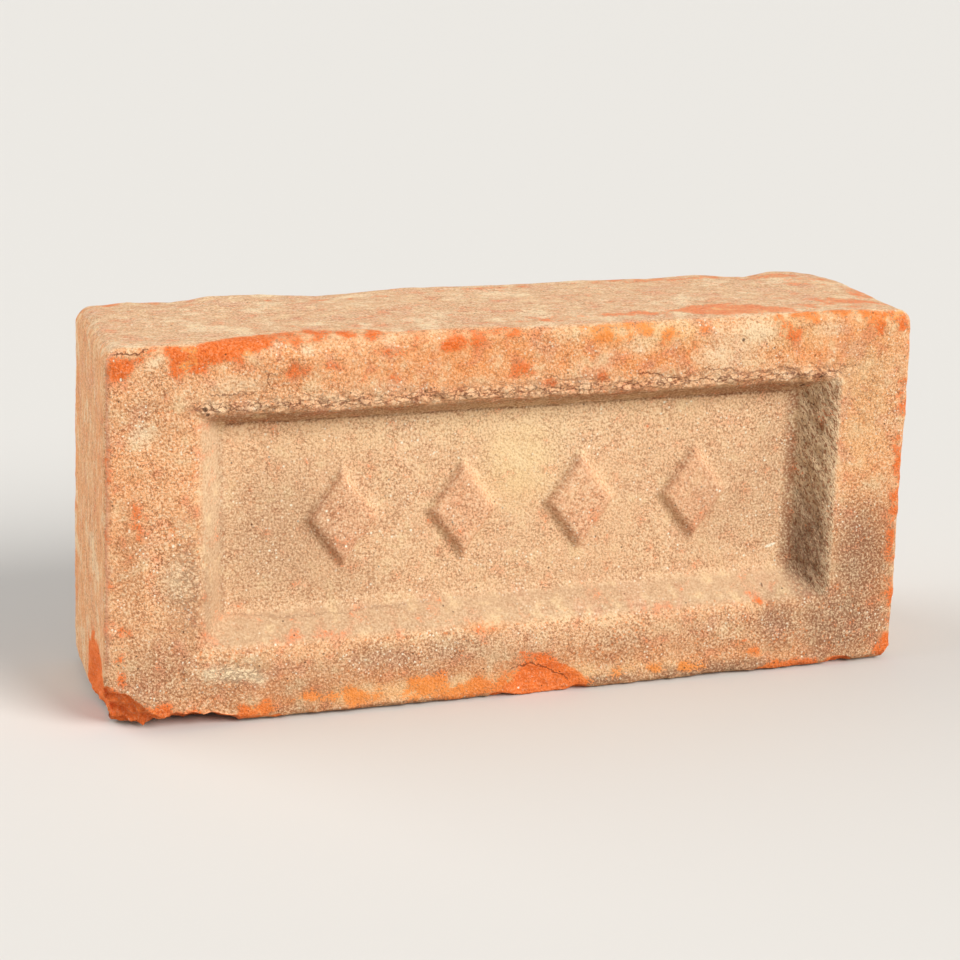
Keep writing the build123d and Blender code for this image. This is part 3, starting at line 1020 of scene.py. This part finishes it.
def mixNoises(tree, ends):
    inMetres = addNode(tree, "TexCoord").outputs["Object"]
    place = addNode(tree, "Mapping", {"Vector": inMetres, "Scale": [1 / mm] * 3}).outputs[0]
    made = {name: cloudy(tree, place, *settings) for name, settings in clay["noises"].items()}
    for name, (size, turn, detail, rough, curl) in clay["streaks"].items():
        made[name] = cloudy(tree, stretched(tree, place, size, turn), 1, detail, rough, curl)
    noises = SimpleNamespace(place=place, **made)
    noises.drag = either(tree, ends, noises.dragAlong, noises.dragDown)
    noises.crazing = crazedNet(tree, place)
    noises.grainOff, noises.grainPick = grains(tree, place, clay["grainSize"])
    noises.pitOff, noises.pitPick = grains(tree, place, clay["pitSize"])
    return noises


def howSandy(tree, masks, noises):
    # sandy where it was struck, quiet on the walls, slick faces and pale patches
    sandy = either(tree, masks.struck, clay["left"]["slick"], 1.0)
    sandy = faded(tree, sandy, masks.hollow, "hollow")
    sandy = faded(tree, sandy, sums(tree, "SUBTRACT", masks.calm, masks.shadowed, True), "calm")
    grainy = times(tree, sandy, shown(tree, noises.broad, "grainyPatches"))
    warm = weakened(tree, masks.warm, "quietWarm")
    broken = highest(tree, weakened(tree, masks.soot, "quietSootAndShade"), weakened(tree, masks.crumb, "quietCrumb"))
    quiet = highest(tree, masks.yellow, masks.pale, warm, broken)
    return sandy, faded(tree, grainy, quiet, "quiet")


def baseTone(tree, masks, noises, outside):
    # the clay's own tone, mottled over a few millimetres, with painted shade on the frog's walls and the
    # marks' left sides, and painted light along the top of the frog's floor
    slickSkin = tint(tree, masks.ends, shade(clay["topSkin"]), "endSkin")
    skin = tint(tree, masks.struck, slickSkin, "sand")
    skin = tint(tree, masks.hollow, skin, "floor")
    skin = tint(tree, masks.calm, skin, "calm")
    skin = tint(tree, highest(tree, masks.shadowed, weakened(tree, masks.sides, "sides")), skin, "shadowed")
    skin = mottle(tree, skin, "tornDarkAndShade", masks.shadowed, noises.dragAlong, "shadeStreaks")
    skin = mottle(tree, skin, "warm", masks.warm, noises.patchy, "warmMottle")
    skin = tint(tree, weakened(tree, masks.yellow, "yellow"), skin, "yellow")
    skin = mottle(tree, skin, "pink", outside, noises.patchy, "pinkMottle")
    skin = mottle(tree, skin, "mauve", outside, noises.blotchy, "mauveMottle")
    skin = tint(tree, shown(tree, noises.patchy, "creamMottle"), skin, "cream")
    skin = tint(tree, weakened(tree, masks.tops, "tops"), skin, "pink")
    return tint(tree, weakened(tree, masks.mauve, "mauve"), skin, "mauve")


def slickStreaks(tree, skin, noises, slick):
    # drag streaks and pale smears of the slick faces
    skin = mottle(tree, skin, "pale", slick, noises.blotchy, "smears")
    skin = mottle(tree, skin, "pink", slick, noises.drag, "pinkStreaks")
    skin = mottle(tree, skin, "pale", slick, noises.drag, "paleStreaks")
    return mottle(tree, skin, "soot", slick, noises.drag, "sootStreaks")


def tornWall(tree, skin, masks, noises):
    # dark clay with short light strokes
    tone = tint(tree, shown(tree, noises.strokes, "lightStrokes"), shade(clay["tornDarkAndShade"]), "tornLight")
    ragged = sums(tree, "ADD", masks.torn, sums(tree, "MULTIPLY", noises.strokes, clay["tearRagged"]))
    return tint(tree, weakened(tree, shown(tree, ragged, "tearing"), "tearing"), skin, tone)


def sootShadeAndPale(tree, skin, masks, noises):
    # soot and painted shade, and the pale patches with painted light along the top of the frog's floor, all
    # broken up by the sand
    sootyAndShaded = times(tree, masks.soot, shown(tree, noises.leather, "sootAndShadeSand"))
    skin = tint(tree, weakened(tree, sootyAndShaded, "sootyAndShaded"), skin, "soot")
    return mottle(tree, skin, "pale", masks.pale, noises.leather, "paleSand")


def bareClay(tree, skin, masks, noises, slick):
    # orange clay where the skin is rubbed or broken away
    edge = sums(tree, "ADD", masks.orange, shown(tree, noises.patchy, "orangeWaver"))
    edge = sums(tree, "ADD", edge, shown(tree, noises.leather, "orangeGrit"))
    bare = highest(tree, shown(tree, edge, "rubbed"), shown(tree, masks.fresh, "broken"))
    tone = tint(tree, shown(tree, noises.patchy, "lightOrange"), shade(clay["orange"]), "orangeLight")
    tone = tint(tree, shown(tree, noises.leather, "deepOrange"), tone, "orangeDeep")
    tone = tint(tree, masks.amber, tone, "orangeLight")
    tone = tint(tree, weakened(tree, masks.fresh, "fresh"), tone, "orangeFresh")
    onTop = sums(tree, "SUBTRACT", slick, masks.ends, True)
    return mottle(tree, skin, tone, bare, onTop, "orangeCover"), bare


def sandGrains(tree, skin, noises, grainy, outside):
    # light, dark and orange sand and quartz, with wormy gaps between
    skin = mottle(tree, skin, "lightGrain", grainy, noises.leather, "lightGrains")
    skin = mottle(tree, skin, "darkGrain", grainy, noises.leather, "darkGrains")
    gaps = times(tree, nearMiddle(tree, noises.worms, clay["gapWidth"]), shown(tree, noises.patchy, "gaps"))
    skin = tint(tree, times(tree, grainy, gaps), skin, "darkGrain")
    orange = times(tree, shown(tree, noises.grainPick[1], "orangePicked"),
                   shown(tree, noises.grainOff, "orangeGrain"))
    skin = tint(tree, times(tree, grainy, times(tree, orange, outside)), skin, "orangeGrain")
    quartz = times(tree, shown(tree, noises.grainPick[0], "quartzPicked"),
                   shown(tree, noises.grainOff, "quartzGrain"))
    quartz = times(tree, quartz, shown(tree, noises.blotchy, "quartzClusters"))
    return tint(tree, times(tree, grainy, quartz), skin, "splinter")


def cracksAndCreviceShade(tree, masks, noises):
    # the painted cracks, the fine net of the lip and painted shade along the foot of the top wall
    waver = shown(tree, noises.worms, "crackWaver")
    offLine = sums(tree, "ABSOLUTE", sums(tree, "ADD", masks.crackSide, waver))
    painted = times(tree, masks.crackGape, shown(tree, offLine, "crackWidth"))
    held = sums(tree, "MULTIPLY", masks.crackGape, clay["crackHold"])
    unbroken = sums(tree, "ADD", noises.leather, held)
    painted = times(tree, painted, shown(tree, unbroken, "crackBreaks"))
    net = times(tree, shown(tree, noises.crazing, "netWidth"), shown(tree, noises.leather, "netBreaks"))
    foot = times(tree, masks.crevice, shown(tree, noises.leather, "creviceShadeBreaks"))
    return highest(tree, painted, times(tree, masks.crazed, net), foot)


def specks(tree, skin, masks, noises):
    # dark pits and painted shade in the frog's inner corners, white flecks and the splinter
    pitAndShade = times(tree, shown(tree, noises.pitPick[0], "pitPicked"), shown(tree, noises.pitOff, "pitGrain"))
    pitAndShade = highest(tree, pitAndShade, shown(tree, masks.pits, "pitAndShadeRim"))
    skin = tint(tree, weakened(tree, pitAndShade, "pitAndShade"), skin, "pitAndShade")
    fleck = times(tree, shown(tree, noises.pitPick[1], "pitPicked"), shown(tree, noises.pitOff, "fleckGrain"))
    fleck = times(tree, times(tree, fleck, masks.struck), shown(tree, noises.blotchy, "fleckClusters"))
    skin = tint(tree, fleck, skin, "splinter")
    return tint(tree, shown(tree, masks.splinter, "splinterRim"), skin, "splinter")


def fineRelief(tree, masks, noises, sandy, slick):
    # relief finer than the mesh
    height = times(tree, noises.leather, sandy)
    for noise, where, share in (
        (noises.drag, slick, clay["streakHeight"]),
        (noises.strokes, masks.torn, clay["strokeHeight"]),
    ):
        amount = sums(tree, "MULTIPLY", where, share)
        height = sums(tree, "ADD", height, sums(tree, "MULTIPLY", noise, amount))
    relief = {"Height": height, "Distance": clay["grainHeight"] * mm, "Strength": 1.0}
    return addNode(tree, "Bump", relief).outputs[0]


def makeClay():
    material = bpy.data.materials.new("fired_clay_skin")
    material.use_nodes = True
    tree = material.node_tree
    shader = tree.nodes["Principled BSDF"]
    painted = {name: addNode(tree, "Attribute", attribute_name=name).outputs["Fac"] for name in maskNames}
    masks = SimpleNamespace(**painted)
    noises = mixNoises(tree, masks.ends)
    slick = sums(tree, "SUBTRACT", 1.0, masks.struck, True)
    outside = between(tree, masks.hollow, 0, 1, 1.0, clay["left"]["outside"])
    sandy, grainy = howSandy(tree, masks, noises)

    skin = baseTone(tree, masks, noises, outside)
    skin = slickStreaks(tree, skin, noises, slick)
    skin = tornWall(tree, skin, masks, noises)
    skin = sootShadeAndPale(tree, skin, masks, noises)
    skin, bare = bareClay(tree, skin, masks, noises, slick)
    grainy = faded(tree, grainy, highest(tree, bare, masks.mauve, masks.torn), "covered")
    skin = mottle(tree, skin, "lightGrain", masks.crumb, noises.patchy, "crumbLight")
    skin = sandGrains(tree, skin, noises, grainy, outside)
    skin = tint(tree, weakened(tree, cracksAndCreviceShade(tree, masks, noises), "crackAndShade"), skin, "crackAndShade")
    skin = specks(tree, skin, masks, noises)

    tree.links.new(skin, shader.inputs["Base Color"])
    tree.links.new(fineRelief(tree, masks, noises, sandy, slick), shader.inputs["Normal"])
    tree.links.new(between(tree, noises.patchy, *clay["roughness"]), shader.inputs["Roughness"])
    shader.inputs["Specular IOR Level"].default_value = clay["specular"]
    print("clay mixed")
    return material


makeBrick(makeClay())

# a flat pale paper floor, with a soft key light from the front right and a fill from behind on the left
studio = {
    "paper": (222, 220, 216),
    "paperBounce": (184, 170, 154),  # what the brick sees of it
    "paperRoughness": 0.95,
    "size": 3.0,
    "sky": 0.42,
    # towards the lamp, level, width of its disc in degrees, colour
    "key": ((0.46, -0.70, 0.55), 0.91, 30, (1.0, 0.98, 0.95)),
    "fill": ((-0.82, 0.34, 0.46), 0.50, 60, (1.0, 0.99, 0.97)),
}


def makePaper():
    material = bpy.data.materials.new("pale_paper")
    material.use_nodes = True
    tree = material.node_tree
    shader = tree.nodes["Principled BSDF"]
    rays = addNode(tree, "LightPath").outputs
    seen = highest(tree, rays["Is Camera Ray"], rays["Is Glossy Ray"], rays["Is Transmission Ray"])
    tones = {0: seen, 6: shade(studio["paperBounce"]), 7: shade(studio["paper"])}
    tone = addNode(tree, "Mix", tones, data_type="RGBA").outputs[2]
    tree.links.new(tone, shader.inputs["Base Color"])
    shader.inputs["Roughness"].default_value = studio["paperRoughness"]
    return material


def layFloor():
    size = studio["size"]
    mesh = bpy.data.meshes.new("paper")
    corners = [(-size, -size, 0), (size, -size, 0), (size, size, 0), (-size, size, 0)]
    mesh.from_pydata(corners, [], [(0, 1, 2, 3)])
    mesh.materials.append(makePaper())
    floor = bpy.data.objects.new("paper", mesh)
    bpy.context.collection.objects.link(floor)


def lightStudio():
    world = bpy.data.worlds.new("studio")
    world.use_nodes = True
    background = world.node_tree.nodes["Background"]
    background.inputs["Color"].default_value = (1, 1, 1, 1)
    background.inputs["Strength"].default_value = studio["sky"]
    bpy.context.scene.world = world
    for name in ("key", "fill"):
        towards, level, disc, colour = studio[name]
        lamp = bpy.data.lights.new(name, "SUN")
        lamp.energy = level * math.pi
        lamp.angle = math.radians(disc)
        lamp.color = colour
        sun = bpy.data.objects.new(name, lamp)
        sun.rotation_euler = Vector(towards).to_track_quat("Z", "Y").to_euler()
        bpy.context.collection.objects.link(sun)


layFloor()
lightStudio()
bpy.context.scene.view_settings.view_transform = "Standard"
print("studio lit")
